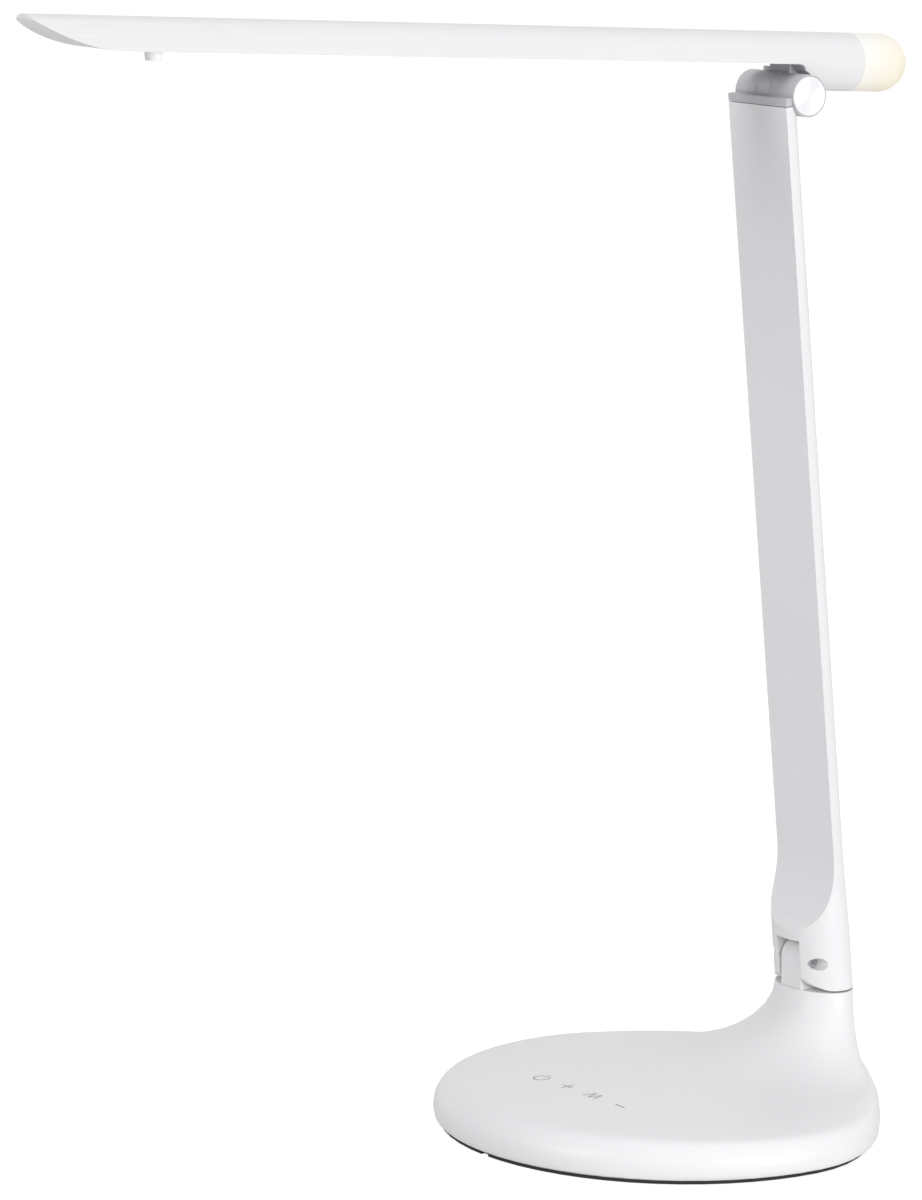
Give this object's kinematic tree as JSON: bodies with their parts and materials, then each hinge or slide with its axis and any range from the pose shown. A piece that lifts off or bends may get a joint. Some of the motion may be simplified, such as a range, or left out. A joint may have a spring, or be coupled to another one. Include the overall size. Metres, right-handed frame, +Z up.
{
  "type": "folding desk lamp",
  "caption": "Folding desk lamp: round weighted base, flat-fronted arm hinged at its foot, and a tube-shaped light head on a barrel hinge, with a glowing night-light cap at its back end.",
  "frame": {"origin": "middle of the base on the surface that the lamp stands on", "axes": "+X to the user's right, +Y to the back, +Z up; the head reaches towards the user along -Y"},
  "size_m": [0.174, 0.361, 0.4053],
  "materials": {
    "white_body": "satin white moulded plastic",
    "hinge_grey": "satin light grey moulded plastic",
    "white_nylon": "plain white",
    "dark_plastic": "matt black",
    "rubber": "soft dark grey",
    "soft_white": "soft white",
    "weight_steel": "plain rolled steel",
    "fastener_steel": "zinc plated",
    "spun_disc": "spun, with fine rings",
    "strip_aluminium": "plain extruded",
    "board": "green lacquer",
    "contact": "plated",
    "lead_cover": "matt",
    "diffuser": "milky, lets light through",
    "night_cover": "milky, glows warm",
    "led": "yellow lens"
  },
  "bodies": {
    "base": {"base_shell": "white_body", "fold_lug": "white_body", "base_plate": "dark_plastic", "foot_pad": "rubber", "ballast": "weight_steel", "touch_board": "board", "touch_springs": "fastener_steel", "board_screws": "fastener_steel", "base_screws": "fastener_steel", "power_jack": "dark_plastic", "jack_contact": "contact", "base_wire": "lead_cover"},
    "arm": {"arm_shell": "white_body", "arm_cover": "white_body", "arm_spine": "weight_steel", "arm_screws": "fastener_steel", "arm_cap": "hinge_grey", "arm_wire": "lead_cover", "fold_pin": "fastener_steel", "fold_nut": "fastener_steel", "fold_washers": "fastener_steel", "hinge_bolt": "fastener_steel", "hinge_nut": "fastener_steel", "hinge_washer": "white_nylon", "hinge_disc": "spun_disc"},
    "head": {"head_shell": "white_body", "head_hinge": "hinge_grey", "hinge_grubs": "fastener_steel", "far_disc": "spun_disc", "heat_strip": "strip_aluminium", "led_board": "board", "led_chips": "led", "diffuser": "diffuser", "bumper": "soft_white", "night_cap": "night_cover", "night_board": "board", "night_leds": "led", "head_wire": "lead_cover"}
  },
  "joints": [
    {"name": "arm_fold", "type": "hinge", "parent": "base", "child": "arm", "pos_m": [0, 0.0572, 0.0519], "axis": [1, 0, 0], "range_deg": [-1.5, 60]},
    {"name": "head_tilt", "type": "hinge", "parent": "arm", "child": "head", "pos_m": [0, 0.04615, 0.36482], "axis": [1, 0, 0], "range_deg": [-40, 97.5]}
  ]
}
